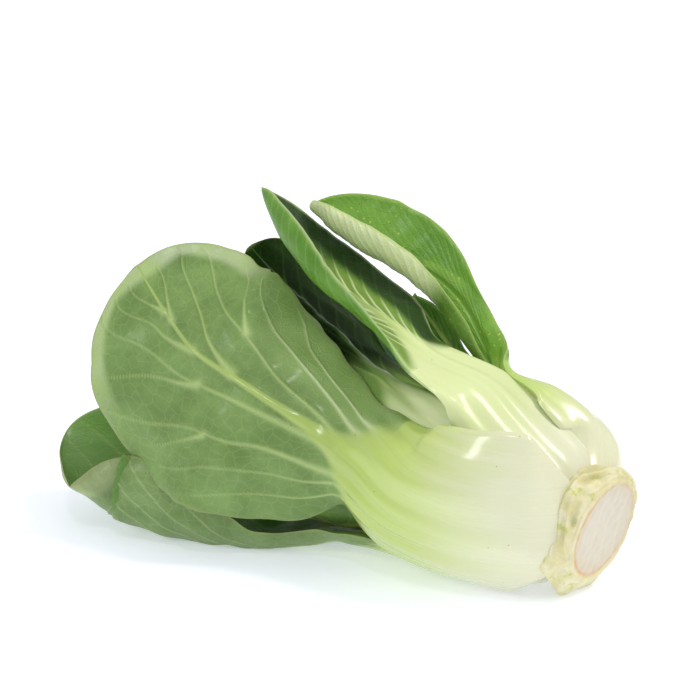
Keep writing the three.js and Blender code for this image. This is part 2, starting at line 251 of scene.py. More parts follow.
leaves["lower_leaf"] = {
    "path": [[4, 14, -85], [15, 24, -88], [34, 31, -92], [56, 33, -90], [80.5, 37.5, -85],
             [105, 49.5, -79.5], [133, 57, -72.5], [154, 58.5, -71], [165.5, 56, -57.5]],
    "turn": [0, 0, 0, 0, 0, -3, -5, -11, 7],
    "petiole": [11, 20, 27, 25, 18],
    "blade": [52, 37],
    "widest": [0.78, 0.7],
    "tipRound": [0.49, 0.32],
    "wrap": [[44, 42, 44, 46, 45, 60, 78, 83, 41],
             [50, 48, 50, 50, 46, 64, 104, 114, 95]],
    "thick": [3, 7, 8.5, 7, 5],
    "grid": [200, 60],
    "fan": {"count": 7, "from": 0.42, "bow": 1.4, "wide": 0.65},
    "veinHigh": 0.4, "scallop": 0.4, "seed": 23,
    "waves": [[-1, 6, 0.3, 0.5], [1, 7, 0.0, 0.6]],
    "silver": 1,
}
leaves["upper_front_leaf"] = {
    "path": [[5, 11, 67], [16, 18.5, 71], [33, 25.5, 77], [48, 31, 82], [66, 33, 80],
             [83.5, 36.5, 84.5], [105, 38, 94.5], [126.5, 44.5, 103.5], [147.5, 55.5, 111]],
    "turn": [0, 0, 0, 1, 2, -2, -10, -12, -15],
    "petiole": [10, 17.5, 20.5, 18, 13],
    "bladeFrom": 0.49,
    "blade": [20.5, 20],
    "widest": [0.51, 0.48],
    "tipRound": [0.67, 0.6],
    "wrap": [[50, 54, 58, 46, -12, -90, -137, -172, -199],
             [40, 35, 27, 23, 19, 10, -1, -9, -14]],
    "curl": [1.64, 1],
    "thick": [3, 6, 8, 7, 5],
    "grid": [200, 60],
    "fan": {"count": 10, "from": 0.33, "bow": 2.1, "wide": 0.7},
    "veinHigh": 0.3, "pucker": 0.15, "scallop": 0.1, "seed": 33,
    "waves": [[-1, 6, 0.3, 0.1], [1, 5, 0.0, 0.25]],
    "pale": [[0.4, 0.84, -0.9, 0.34, 1]],
    # painted shade: the far half and the tip, darkened as they lie in shadow inside the curl
    "deep": [[0.5, 1.2, 0.4, 1.2, 1], [0.82, 1.2, -0.6, 0.4, 0.9]],
}
leaves["lower_back_leaf"] = {
    "path": [[4, 14, 192], [15, 24, 196], [34, 31, 199], [56, 33, 200], [78, 36, 204],
             [100, 42, 204], [122, 48, 203], [143, 51, 201], [160, 51, 198]],
    "petiole": [11, 19, 24, 22, 14],
    "blade": [35, 34],
    "widest": [0.55, 0.55],
    "tipRound": [0.5, 0.5],
    "wrap": [[50, 48, 50, 50, 45, 40, 40, 35, 30],
             [62, 66, 66, 60, 45, 40, 45, 45, 40]],
    "thick": [3, 7, 8.5, 7, 5],
    "grid": [170, 50],
    "fan": {"count": 7, "from": 0.42, "bow": 1.4, "wide": 0.65},
    "veinHigh": 0.4, "pucker": 0.4, "scallop": 0.8, "seed": 43,
    "waves": [[-1, 6, 0.3, 1.0], [1, 7, 0.0, 1.0]],
    "silver": 0.6,
}
leaves["inner_front_leaf"] = {
    "path": [[8, 10, 30], [20, 18, 34], [41, 23, 42], [64.5, 19, 62],
             [87.5, 18, 99], [109.5, 24, 115.5], [129, 30.5, 119.5], [144.5, 37, 112.5]],
    "turn": [0, 0, 0, 0, -5, -15, -28, -49],
    "petiole": [8, 16, 21, 21, 17],
    "blade": [20, 34],
    "tipRound": [0.55, 0.5],
    "wrap": [[50, 50, 50, 64, 68, 60, 40, 36],
             [50, 50, 50, 45, 36, 26, 21, 15]],
    # painted light: the foot of the blade lighter than the painted shade of the rest
    "pale": [[0.35, 0.58, -1.2, 1.2, 0.85]],
    "seed": 53,
}
leaves["inner_lower_leaf"] = {
    "path": [[8, 10, -50], [20, 18, -60], [40, 23, -68], [62, 26, -74],
             [84, 32, -77], [106, 35, -78], [125, 36, -78], [140, 36, -76]],
    "petiole": [8, 15, 18, 16, 11],
    "bladeFrom": 0.45,
    "blade": [26, 24],
    "wrap": [[50, 50, 50, 50, 50, 55, 55, 50],
             [55, 55, 55, 60, 70, 75, 75, 70]],
    "seed": 63,
}
leaves["inner_back_leaf"] = {
    "path": [[8, 10, 150], [20, 16, 151], [36, 19, 146], [50, 23, 139],
             [64, 30, 132], [78, 37.5, 131], [92, 45, 131]],
    "turn": [0, 0, 0, 12, 32, 48, 55],
    "petiole": [8, 15, 17, 13, 7],
    "bladeFrom": 0.5,
    "blade": [8, 12],
    "tipRound": [0.8, 0.8],
    "wrap": [[56, 60, 60, 60, 46, 30, 15],
             [56, 60, 60, 56, 50, 40, 30]],
    "fan": {"count": 6, "from": 0.5, "bow": 1.4, "wide": 0.6},
    "seed": 73,
}

# The small leaves at the heart stand round the axis, each shorter, closer to it and narrower
# than the one before.
heart = {
    "count": 3, "firstAngle": 200, "stepAngle": 144,
    "length": 84, "shorter": 13,
    "path": [[0.12, 6], [0.3, 10], [0.5, 11], [0.7, 12], [0.85, 14], [1, 15]],  # share of it, and r
    "closer": 1.5,
    "halfWidth": 13, "narrower": 2,
    "seed": 80,
}
for i in range(heart["count"]):
    length = heart["length"] - heart["shorter"] * i
    angle = heart["firstAngle"] + heart["stepAngle"] * i
    half = heart["halfWidth"] - heart["narrower"] * i
    leaves[f"heart_leaf_{i + 1}"] = {
        "path": [[share * length, r - heart["closer"] * i, angle] for share, r in heart["path"]],
        "petiole": [4, 8, 8, 6],
        "bladeFrom": 0.45,
        "blade": [half, half],
        "wrap": [[40, 50, 55, 55, 50, 40], [40, 50, 55, 55, 50, 40]],
        "thick": [2, 4, 4, 3],
        "grid": [90, 24],
        "fan": {"count": 5, "from": 0.45, "bow": 1.4, "wide": 0.5},
        "veinHigh": 0.3, "scallop": 0.4, "seed": heart["seed"] + i,
        "waves": [[-1, 4, 0.3, 0.4], [1, 5, 0.0, 0.4]],
    }


# Eases from 0 to 1 as x passes from a to b: 3s^2 - 2s^3 of the share s of the way.
def ease(a, b, x):
    s = np.clip((x - a) / (b - a), 0, 1)
    return s * s * (3 - 2 * s)


# A patch of the leaf: its strength between u0 and u1 and between v0 and v1, and 0 outside, with
# borders that ease over softU and softV to both sides.
def patch(u, v, box):
    u0, u1, v0, v1, strength = box
    softU, softV = 0.05, 0.12
    alongIt = ease(u0 - softU, u0 + softU, u) * (1 - ease(u1 - softU, u1 + softU, u))
    acrossIt = ease(v0 - softV, v0 + softV, v) * (1 - ease(v1 - softV, v1 + softV, v))
    return strength * alongIt * acrossIt


# How a fan's side veins are set out along the midrib, and how a vein narrows on its way.
veining = {
    "lastRoot": 0.9, "lastEnd": 0.985,     # u of the last root and of the farthest end
    "crowding": 0.9,                       # under 1, the roots start farther apart
    "firstReach": 0.5, "lastReach": 0.85,  # share of the leaf beyond its root that a vein covers
    "toMargin": 0.95,                      # |v| of the ends
    "finer": 0.45,                         # share of their width that the last veins lose
    "points": 5, "pieces": 24,             # that a line is given by, and drawn with
    "width": 0.55, "root": 2.2, "rootPower": 5,  # along the vein, more at its root, and how soon
    "taper": 0.35, "sink": 0.4,            # shares of width and height lost at the end
    "nearU": 0.03, "pastRib": 0.15,        # how far round a vein the sheet is worked out
}


# A fan of side veins, each its width and the points (u, v) that it runs through: on both sides
# they leave the midrib at u0 and run to the margin at u1, v growing as (share of the way)^bow.
# Sides take turns, and veins nearer the tip are finer and shorter.
def fanVeins(fan):
    lines = []
    share = np.linspace(0, 1, veining["points"])
    for side in (-1, 1):
        for i in range(fan["count"]):
            f = (i + 0.25 * (side + 1)) / fan["count"]
            u0 = fan["from"] + (veining["lastRoot"] - fan["from"]) * f ** veining["crowding"]
            reach = veining["firstReach"] + (veining["lastReach"] - veining["firstReach"]) * f
            u1 = min(u0 + (1 - u0) * reach, veining["lastEnd"])
            v = side * veining["toMargin"] * share ** fan["bow"]
            wide = fan["wide"] * (1 - veining["finer"] * f)
            lines.append([wide, *np.stack([u0 + (u1 - u0) * share, v], -1)])
    return lines


# Height of the veins over the sheet, 0 to 1: for each vein exp(-(d / w)^2) of the distance d
# to its line on the flattened leaf, w broad at its root and narrowing, and the greatest of them
# kept. Only the rows and columns that a vein comes near are worked out.
def veinField(sheet, lines):
    x = sheet["v"] * sheet["width"]
    y = sheet["length"][:, None] + 0 * x
    field = np.zeros_like(x)
    way = np.linspace(0, 1, veining["pieces"] + 1)
    for wide, *line in lines:
        u, v = smoothLine(line, way).T
        side = 1 if v[-1] > 0 else -1
        px = v * np.interp(u, sheet["u"], sheet["width"][:, 0 if side < 0 else -1])
        py = np.interp(u, sheet["u"], sheet["length"])
        first, last = u.min() - veining["nearU"], u.max() + veining["nearU"]
        rows = np.flatnonzero((sheet["u"] > first) & (sheet["u"] < last))
        columns = np.flatnonzero(sheet["v"] * side > -veining["pastRib"])
        near = np.ix_(rows, columns)
        dx, dy = np.diff(px), np.diff(py)
        gx, gy = x[near][..., None] - px[:-1], y[near][..., None] - py[:-1]
        along = np.clip((gx * dx + gy * dy) / (dx ** 2 + dy ** 2 + 1e-9), 0, 1)
        apart = np.hypot(gx - along * dx, gy - along * dy)
        done = way[:-1] + along / veining["pieces"]
        root = veining["root"] * (1 - done) ** veining["rootPower"]
        reach = wide * (veining["width"] + root) * (1 - veining["taper"] * done)
        height = (np.exp(-(apart / reach) ** 2) * (1 - veining["sink"] * done)).max(-1)
        field[near] = np.maximum(field[near], height)
    return field


# Slow swells over the flattened leaf: a sum of cosines of x and y in nine seeded directions.
def swells(x, y, size, seed):
    dice = np.random.default_rng(seed)
    count, shortest, longest = 9, 0.7, 1.6  # wavelengths as shares of the size
    total = np.zeros_like(x)
    for _ in range(count):
        turn, phase = dice.uniform(0, np.pi), dice.uniform(0, 2 * np.pi)
        k = 2 * np.pi / (size * dice.uniform(shortest, longest))
        total += np.cos(k * (x * np.cos(turn) + y * np.sin(turn)) + phase)
    return total / count ** 0.5


# Puts points, faces and the flat map in mm into a mesh in metres, with a number at each point
# for each attribute, hangs it on the root body and hides the imported node that it stands for.
def addPiece(name, points, faces, uv, attributes, material, node):
    mesh = bpy.data.meshes.new(name)
    mesh.vertices.add(len(points))
    mesh.vertices.foreach_set("co", (points / 1000).astype(np.float32).ravel())
    corners = faces >= 0
    loops = faces[corners].astype(np.int32)
    mesh.loops.add(len(loops))
    mesh.loops.foreach_set("vertex_index", loops)
    mesh.polygons.add(len(faces))
    starts = np.concatenate([[0], np.cumsum(corners.sum(1))[:-1]])
    mesh.polygons.foreach_set("loop_start", starts.astype(np.int32))
    mesh.update(calc_edges=True)
    mesh.polygons.foreach_set("use_smooth", np.ones(len(faces), bool))
    layer = mesh.uv_layers.new(name="flat")
    layer.data.foreach_set("uv", (uv[loops] / 1000).astype(np.float32).ravel())
    for key, values in attributes.items():
        field = mesh.attributes.new(key, "FLOAT", "POINT")
        field.data.foreach_set("value", values.astype(np.float32).ravel())
    mesh.materials.append(material)
    piece = bpy.data.objects.new(name, mesh)
    bpy.context.scene.collection.objects.link(piece)
    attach(piece, "root")
    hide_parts(node)
    print(name, len(loops) - 2 * len(faces), "triangles")


# Quads of a closed tube of rows x size points, then triangles to one middle point at each end.
# A triangle's fourth corner is -1.
def tubeFaces(rows, size):
    i, j = np.meshgrid(np.arange(rows - 1), np.arange(size), indexing="ij")
    k = (j + 1) % size
    quads = np.stack([i * size + j, i * size + k, (i + 1) * size + k, (i + 1) * size + j], -1)
    ring = np.arange(size)
    after = (ring + 1) % size
    none = 0 * ring - 1
    last = (rows - 1) * size
    foot, tip = rows * size + 0 * ring, rows * size + 1 + 0 * ring
    ends = np.vstack([np.stack([foot, after, ring, none], -1),
                      np.stack([tip, last + ring, last + after, none], -1)])
    return np.vstack([quads.reshape(-1, 4), ends])


# Fine shape that all leaves share, in mm unless a note says otherwise. How high the veins, the
# midrib, the puckers, the scallops and the waves stand is each leaf's own.
leafRelief = {
    "opens": 0.2,            # share of the blade over which its own relief comes in
    "calmTip": [0.85, 0.98], # u between which the margin's waves die out
    "puckerSize": 12,
    "scallopSize": 9, "marginsApart": 40,  # so far apart that the two margins differ
    # slow swells of the petiole and finer ridges on it, so many times longer than wide
    "swell": 0.55, "swellSize": 13, "swellLong": 8, "swellFrom": 0.15,
    "ridge": 0.42, "ridgeSize": 5, "ridgeLong": 14,
    "ridgeFrom": [0.3, 1.0], "ridgeClear": [1, 5],  # shares of its length, and off the margin
    # share of the blade in which the petiole narrows to the midrib, its half-widths and roundness
    "stalkFade": 0.09, "midrib": 1.5, "midribEnd": 0.25, "midribRound": 0.8, "midribFrom": 0.25,
    "bladeThick": 0.5, "petioleThicker": 1.5,   # at the margins
    "roundOver": [-0.4, 1.6],                   # off the margin
    "outerEdge": 0.35, "innerEdge": 0.4,        # how deep the faces lie there, of the thickness
    "veinsInside": 0.3,                         # share of the veins on the inner face
    # where the colours change: across the petiole, past its end, and off the margin
    "stalkEdge": [0.5, 1.1], "veinFrom": 0.05, "veinColourInside": 0.6,
    "rim": 0.8, "silverRim": [4, 8], "silverFrom": [0.78, 0.88],
}


# The sheet made solid: an outer and an inner face along its normals, moved by the waves, puckers,
# swells and ridges, with the veins raised on both, and closed round the margin.
def leafPiece(node, material):
    leaf = {**usual, **leaves[node]}
    sheet = leafSheet(leaf)
    at, v, width = sheet["at"], sheet["v"][None], sheet["width"]
    x = v * width
    y = sheet["length"][:, None] + 0 * x
    u = sheet["u"][:, None]
    inBlade = sheet["inBlade"][:, None]
    blade = ease(0, leafRelief["opens"], inBlade)
    calm = 1 - ease(*leafRelief["calmTip"], u)
    edge = np.minimum((1 - np.abs(v)) * width, sheet["length"][-1] - y)
    seed = leaf["seed"]

    # scallops: the margin goes in and out within the sheet
    cross = unit(np.gradient(at, axis=1))
    apart = leafRelief["marginsApart"] * np.sign(v) + 0 * y
    scallop = np.sign(v) * leaf["scallop"] * (np.abs(v) ** 4 * blade * calm)
    at = at + cross * (scallop * swells(y, apart, leafRelief["scallopSize"], seed))[..., None]
    normal = unit(np.cross(np.gradient(at, axis=1), np.gradient(at, axis=0)))

    move = 0 * x
    for side, cycles, phase, high in leaf["waves"]:
        here = np.where(v * side > 0, v ** 2, 0) * blade * calm
        move += high * here * np.sin(2 * np.pi * (cycles * u + phase))
    move += leaf["pucker"] * blade * swells(x, y, leafRelief["puckerSize"], seed + 1)
    bulge = swells(x, y / leafRelief["swellLong"], leafRelief["swellSize"], seed + 2)
    move += leafRelief["swell"] * (1 - blade) * ease(0, leafRelief["swellFrom"], u) * bulge
    start = np.interp(leaf["bladeFrom"], sheet["u"], sheet["length"])
    ribbed = ease(*leafRelief["ridgeFrom"], y / start) * (1 - blade)
    ribbed = ribbed * ease(*leafRelief["ridgeClear"], edge)
    ridges = swells(x, y / leafRelief["ridgeLong"], leafRelief["ridgeSize"], seed + 3)
    move += leafRelief["ridge"] * ribbed * ridges

    # the petiole runs on into the blade as its midrib
    veins = veinField(sheet, leaf["veins"] if "veins" in leaf else fanVeins(leaf["fan"]))
    stalkHalf = (leaf["petiole"][-1] * np.exp(-inBlade / leafRelief["stalkFade"])
                 + leafRelief["midrib"] * (1 - inBlade) + leafRelief["midribEnd"])
    midrib = np.exp(-(x / (leafRelief["midribRound"] * stalkHalf)) ** 2)
    midrib = midrib * ease(0, leafRelief["midribFrom"], inBlade)
    raised = leaf["veinHigh"] * veins * blade + leaf["ribHigh"] * midrib * (1 - inBlade)

    reach = np.abs(x) / np.maximum(sheet["rib"][:, None], outline["leastHalf"])
    thin = leafRelief["bladeThick"] + leafRelief["petioleThicker"] * (1 - blade)
    thickness = thin + np.maximum(sheet["ribThick"][:, None] - thin, 0) * np.clip(1 - reach ** 2, 0, 1)
    full = ease(*leafRelief["roundOver"], edge)
    lift = move + raised - leafRelief["outerEdge"] * thickness * (1 - full)
    depth = thickness * (leafRelief["innerEdge"] + (1 - leafRelief["innerEdge"]) * full)
    outer = at + normal * lift[..., None]
    inner = at + normal * (move - depth + leafRelief["veinsInside"] * raised)[..., None]
    points = np.concatenate([outer, inner[:, ::-1]], 1)
    points = np.vstack([points.reshape(-1, 3), points[[0, -1]].mean(1)]) + cutFace
    points[:, 2] = np.maximum(points[:, 2], 0)  # nothing under the floor

    stalk = np.where(inBlade > 0, 1 - ease(*leafRelief["stalkEdge"], np.abs(x) / stalkHalf), 1)
    shown = veins * ease(0, leafRelief["veinFrom"], inBlade)
    rim = np.exp(-(edge / leafRelief["rim"]) ** 2)
    nearRim = 1 - ease(*leafRelief["silverRim"], edge)
    # pale patches (painted light on all leaves but the upper front one) and painted shade patches, outside
    # only
    pale, deep = (np.clip(sum(patch(u, v, box) for box in leaf[key]) + 0 * x, 0, 1)
                  for key in ("pale", "deep"))

    # a value for each point: the outer face's, the inner's the other way, and the two ends'
    def skin(outside, inside):
        values = np.concatenate([outside + 0 * x, (inside + 0 * x)[:, ::-1]], 1)
        return np.concatenate([values.ravel(), values[[0, -1]].mean(1)])

    attributes = {
        "vein": skin(shown, leafRelief["veinColourInside"] * shown),
        "stalk": skin(stalk, stalk),
        "climb": skin(y / start, y / start),
        "inside": skin(0, 1),
        "rim": skin(rim, rim),
        "pale": skin(pale, 0),
        "deep": skin(deep, 0),
        "silver": skin(leaf["silver"] * nearRim * ease(*leafRelief["silverFrom"], u), 0),
    }
    uv = np.stack([skin(x, x), skin(y, y)], -1)
    name = node.title().replace("_", "")
    name = name[0].lower() + name[1:]
    along, across = leaf["grid"]
    faces = tubeFaces(along, 4 * across + 2)
    addPiece(name, points, faces, uv, attributes, material, node)


def linear(code):
    channel = [int(code[i:i + 2], 16) / 255 for i in (1, 3, 5)]
    return [c / 12.92 if c <= 0.04045 else ((c + 0.055) / 1.055) ** 2.4 for c in channel] + [1]


# A material with nothing in it yet, its node tree and where its surface goes.
def bareMaterial(name):
    material = bpy.data.materials.new(name)
    material.use_nodes = True
    tree = material.node_tree
    tree.nodes.clear()
    return material, tree, tree.nodes.new("ShaderNodeOutputMaterial").inputs["Surface"]


# Adds a node and gives one of its outputs. Inputs are given by name or number, as a value, a
# colour code or another node's output; what else is given are the node's own properties.
def addNode(tree, kind, inputs, output=0, **properties):
    node = tree.nodes.new("ShaderNode" + kind)
    for key, value in properties.items():
        setattr(node, key, value)
    for key, value in inputs.items():
        socket = node.inputs[key]
        if isinstance(value, bpy.types.NodeSocket):
            tree.links.new(value, socket)
        else:
            socket.default_value = linear(value) if isinstance(value, str) else value
    return node.outputs[output]


# Coats over a base colour, each given as its mask, how much of it shows and its colour.
def painted(tree, colour, coats):
    for mask, much, coat in coats:
        share = addNode(tree, "Math", {0: mask, 1: much}, operation="MULTIPLY")
        colour = addNode(tree, "Mix", {0: share, 6: colour, 7: coat}, 2, data_type="RGBA")
    return colour


# Patterns added up, each given with its height.
def heaped(tree, patterns):
    total = 0.0
    for pattern, high in patterns:
        total = addNode(tree, "Math", {0: pattern, 1: high, 2: total}, operation="MULTIPLY_ADD")
    return total


# For a MapRange, whose inputs are the value, from low and high, and to low and high.
smooth = {"interpolation_type": "SMOOTHSTEP"}

# Scales of the leaf's patterns, in mm from one to the next.
grain = {
    "mottle": 14,            # cloudy light and dark of the blade
    "net": 3.6, "fineNet": 1.1,        # meshes of the small and the smallest veins
    "wobble": 6, "wobbleBy": 1.6,      # bends of the nets
    "fibre": 2.6, "fibreLong": 60,     # strings along the petiole
    "streak": 8, "streakLong": 90,     # broad lime streaks of the petiole
    "cells": 0.35,           # skin cells, drawn coarser than they are so that they show
}
# How much of each pattern shows in the colour.
shows = {
    "net": 0.16, "fineNet": 0.12, "silver": 0.8, "paintedShadeVein": 0.5,
    "innerNet": 0.15, "innerVein": 0.6, "rim": 0.6, "string": 0.06, "speck": 0.6,
}
# Shares of the relief, and its height in mm.
bumps = {
    "net": 0.3, "fineNet": 0.15, "mottle": 1.2, "cells": 0.12, "fibre": 0.2,
    "height": 0.4, "strength": 0.55,
}


# Fresh leaf of bok choy: a thin waxy skin over wet green tissue, netted with paler veins, which
# runs into the thick glossy petiole, green-white and finely stringed.
def leafMaterial(name, look):
    material, tree, surface = bareMaterial(name)
    flat = addNode(tree, "UVMap", {}, uv_map="flat")
    vein, stalk, climb, inside, rim, pale, deep, silver = (
        addNode(tree, "Attribute", {}, "Fac", attribute_name=key)
        for key in ("vein", "stalk", "climb", "inside", "rim", "pale", "deep", "silver"))

    # patterns
    mottle = addNode(tree, "TexNoise", {"Vector": flat, "Scale": 1000 / grain["mottle"], "Detail": 5.0,
                     "Roughness": 0.62}, noise_dimensions="2D")
    wobble = addNode(tree, "TexNoise", {"Vector": flat, "Scale": 1000 / grain["wobble"], "Detail": 2.0},
                     "Color", noise_dimensions="2D")
    by = grain["wobbleBy"] / 1000
    bent = addNode(tree, "VectorMath", {0: wobble, 1: (by, by, 0), 2: flat}, operation="MULTIPLY_ADD")
    nets = []
    for size, width in ((grain["net"], 0.09), (grain["fineNet"], 0.14)):
        mesh = addNode(tree, "TexVoronoi", {"Vector": bent, "Scale": 1000 / size}, "Distance",
                       feature="DISTANCE_TO_EDGE", voronoi_dimensions="2D")
        nets.append(addNode(tree, "MapRange", {0: mesh, 1: 0.0, 2: width, 3: 1.0, 4: 0.0}, **smooth))
    net, fineNet = nets
    lengthwise = []
    for size, length, detail in ((grain["fibre"], grain["fibreLong"], 1.5),
                                 (grain["streak"], grain["streakLong"], 2.0)):
        long = addNode(tree, "Mapping", {"Vector": flat, "Scale": (1000 / size, 1000 / length, 1)})
        lengthwise.append(addNode(tree, "TexNoise", {"Vector": long, "Scale": 1.0, "Detail": detail},
                                  noise_dimensions="2D"))
    fibre, streak = lengthwise
    cells = addNode(tree, "TexVoronoi", {"Vector": flat, "Scale": 1000 / grain["cells"]}, "Distance",
                    voronoi_dimensions="2D")

    # specks: dots in a few cells of a coarse pattern, where the mottle is light
    dots = addNode(tree, "TexVoronoi", {"Vector": bent, "Scale": 1000 / look["speckApart"]}, "Distance",
                   voronoi_dimensions="2D")
    rare = addNode(tree, "SeparateColor", {0: dots.node.outputs["Color"]})
    size = look["speckSize"]
    speck = addNode(tree, "MapRange", {0: dots, 1: 0.4 * size, 2: size, 3: 1.0, 4: 0.0}, **smooth)
    for mask, low, high in ((rare, 0.6, 0.64), (mottle, 0.5, 0.56)):
        few = addNode(tree, "MapRange", {0: mask, 1: low, 2: high}, **smooth)
        speck = addNode(tree, "Math", {0: speck, 1: few}, operation="MULTIPLY")

    # the blade's two faces
    cloudy = addNode(tree, "MapRange", {0: mottle, 1: 0.2, 2: 0.8}, **smooth)
    silvery = painted(tree, look["silver"], [[cloudy, 1, look["vein"]]])
    # ribbed: the pale patches' colour, painted light on all leaves but the upper front one; shaded:
    # painted shade
    ribbed = painted(tree, look["paleBetween"], [[vein, 1, look["paleRib"]]])
    shaded = painted(tree, look["deep"], [[vein, shows["paintedShadeVein"], look["paintedShadeVein"]]])
    outerFace = painted(tree, look["dark"], [
        [cloudy, 1, look["light"]],
        [net, shows["net"], look["vein"]], [fineNet, shows["fineNet"], look["dark"]],
        [vein, look["veinShows"], look["vein"]], [silver, shows["silver"], silvery],
        [pale, 1, ribbed], [deep, 1, shaded]])
    innerFace = painted(tree, look["innerDark"], [
        [cloudy, 1, look["innerLight"]], [net, shows["innerNet"], look["innerLight"]],
        [vein, shows["innerVein"], look["innerVein"]]])
    blade = painted(tree, outerFace, [[inside, 1, innerFace], [rim, shows["rim"], look["rim"]]])

    # the petiole: white at the foot, lime towards the blade
    rampShare = 0.4  # of the ramp for each petiole's length climbed
    uneven = addNode(tree, "MapRange", {0: streak, 1: 0.25, 2: 0.75, 3: -0.07, 4: 0.07}, **smooth)
    climb = addNode(tree, "Math", {0: climb, 1: uneven}, operation="ADD")
    climb = addNode(tree, "Math", {0: climb, 1: rampShare}, operation="MULTIPLY")
    petiole = addNode(tree, "ValToRGB", {0: climb})
    ramp = petiole.node.color_ramp
    while len(ramp.elements) < len(look["petiole"]):
        ramp.elements.new(1)
    for stop, (place, code) in zip(ramp.elements, look["petiole"]):
        stop.position, stop.color = place * rampShare, linear(code)
    strings = addNode(tree, "MapRange", {0: fibre, 1: 0.35, 2: 0.8}, **smooth)
    petiole = painted(tree, petiole, [[strings, shows["string"], look["string"]]])
    colour = painted(tree, blade, [[stalk, 1, petiole], [speck, shows["speck"], look["speck"]]])

    # relief: nets and skin cells on the blade, strings on the petiole
    bladeRelief = heaped(tree, [[net, bumps["net"]], [fineNet, bumps["fineNet"]],
                                [mottle, bumps["mottle"]], [cells, bumps["cells"]]])
    stalkRelief = heaped(tree, [[fibre, bumps["fibre"]]])
    relief = addNode(tree, "Mix", {0: stalk, 2: bladeRelief, 3: stalkRelief})
    bump = addNode(tree, "Bump", {"Strength": bumps["strength"], "Distance": bumps["height"] / 1000,
                                  "Height": relief})
    bladeRough, stalkRough = (
        addNode(tree, "MapRange", {0: pattern, 1: 0.3, 2: 0.7, 3: low, 4: high}, **smooth)
        for pattern, low, high in ((mottle, look["rough"] - 0.05, look["rough"] + 0.08),
                                   (fibre, look["stalkRough"], look["stalkRough"] + 0.1)))
    rough = addNode(tree, "Mix", {0: stalk, 2: bladeRough, 3: stalkRough})
    wet = addNode(tree, "Math", {0: stalk, 1: look["wetStalk"], 2: look["coat"]}, operation="MULTIPLY_ADD")
    skin = addNode(tree, "BsdfPrincipled", {
        "Base Color": colour, "Roughness": rough, "Normal": bump, "IOR": 1.42,
        "Specular IOR Level": look["shine"],
        "Subsurface Weight": 0.12, "Subsurface Radius": (0.6, 1.0, 0.3), "Subsurface Scale": 0.002,
        "Coat Weight": wet, "Coat Roughness": 0.14,
    })
    tree.links.new(skin, surface)
    return material


# Colours of the outermost leaf's pale underside; other leaves say only what differs. Petiole
# colours go by the length climbed, 1 where the blade starts.
greens = {
    "dark": "#607e39", "light": "#7d9b55", "vein": "#a9bf78", "veinShows": 0.85, "silver": "#bac6a0",
    "paleBetween": "#9dbb6e", "paleRib": "#e3ecc0", "rim": "#8f9a5c",
    # painted shade: the colour of patches that lie in shadow, and of their veins
    "deep": "#213f0d", "paintedShadeVein": "#45692a",
    "innerDark": "#3f6a1e", "innerLight": "#5c8a30", "innerVein": "#a9c470",
    "petiole": [[0, "#d9d7b9"], [0.3, "#d7d9b6"], [0.5, "#cfd6a2"], [0.72, "#bfd07c"],
                [0.95, "#b5ca68"], [1.15, "#a6bc5e"], [2.0, "#98b05c"]],
    "string": "#e4e6c6",
    "speck": "#5b5a30", "speckApart": 8, "speckSize": 0.035,  # mm apart, size as a share of that
    "rough": 0.42, "stalkRough": 0.24, "shine": 0.5,
    "coat": 0.12, "wetStalk": 0.4,   # wet film on the blade, and how much more on the petiole
}
skins = {
    "front_leaf": ["fresh leaf, pale grey-green underside", {}],
    "upper_back_leaf": ["fresh leaf, bright upper face", {
        "dark": "#557a24", "light": "#6d9438", "vein": "#b9cd86", "rim": "#a9bf6a",
        "innerDark": "#5b8e20", "innerLight": "#7cab3a", "innerVein": "#a9c466",
        # near white: the painted highlight of the strip that curls up towards the light
        "paleBetween": "#dae7ac", "paleRib": "#fbfbec",
        "speck": "#dcd65e", "speckApart": 2.6, "speckSize": 0.16,
        "petiole": [[0, "#d9d7b9"], [0.3, "#d7d9b6"], [0.5, "#cfd6a2"], [0.72, "#bfd07c"],
                    [0.92, "#b0ca64"], [1.08, "#8fb54a"], [1.25, "#78a53a"], [2.0, "#6f9c34"]]}],
    "lower_leaf": ["fresh leaf, shaded underside", {
        "dark": "#5e7a38", "light": "#7c9856", "vein": "#aebf84", "silver": "#8d9a68",
        "innerDark": "#4f7a28", "innerLight": "#668d3c"}],
    "upper_front_leaf": ["fresh leaf, saturated green", {
        "dark": "#65902c", "light": "#83ac48", "vein": "#b9cd86", "rim": "#c9d8a0",
        "innerDark": "#4f7f1f", "innerLight": "#679437", "innerVein": "#b4cb84",
        "paleBetween": "#71913c", "paleRib": "#dde8b0",
        "shine": 0.3, "wetStalk": 0.2, "stalkRough": 0.36,
        "petiole": [[0, "#d9d7c0"], [0.35, "#d3d8b4"], [0.6, "#ccd79e"], [0.85, "#d2dea2"],
                    [1.05, "#d0dca0"], [1.3, "#b5c97c"], [1.6, "#7d9d48"]]}],
    "lower_back_leaf": ["fresh leaf, underside at the back", {}],
    # painted shade: this leaf's outside is made near black-green, as it lies in the shadow of the leaves
    # in front of it; its near-white petiole is painted light, brighter than the shade round it allows
    "inner_front_leaf": ["fresh inner leaf", {
        "dark": "#16260a", "light": "#233c12", "vein": "#3d5c25",
        "innerDark": "#47761b", "innerLight": "#5f8f2c",
        "paleBetween": "#87a957", "paleRib": "#b4cc84",
        "shine": 0.05, "rough": 0.65, "coat": 0.0,
        "petiole": [[0, "#eeeed8"], [0.5, "#f1f8cf"], [1.02, "#ecf6c2"], [1.2, "#cfe09c"],
                    [1.4, "#8fae5c"], [1.8, "#3d5c20"]]}],
    "inner_lower_leaf": ["fresh inner leaf below", {"dark": "#4d6c2e", "light": "#688a42", "shine": 0.3}],
    "inner_back_leaf": ["fresh inner leaf behind", {"dark": "#4f6b38", "light": "#6d8752", "shine": 0.3}],
}
for node, (name, own) in skins.items():
    leafPiece(node, leafMaterial(name, {**greens, **own}))
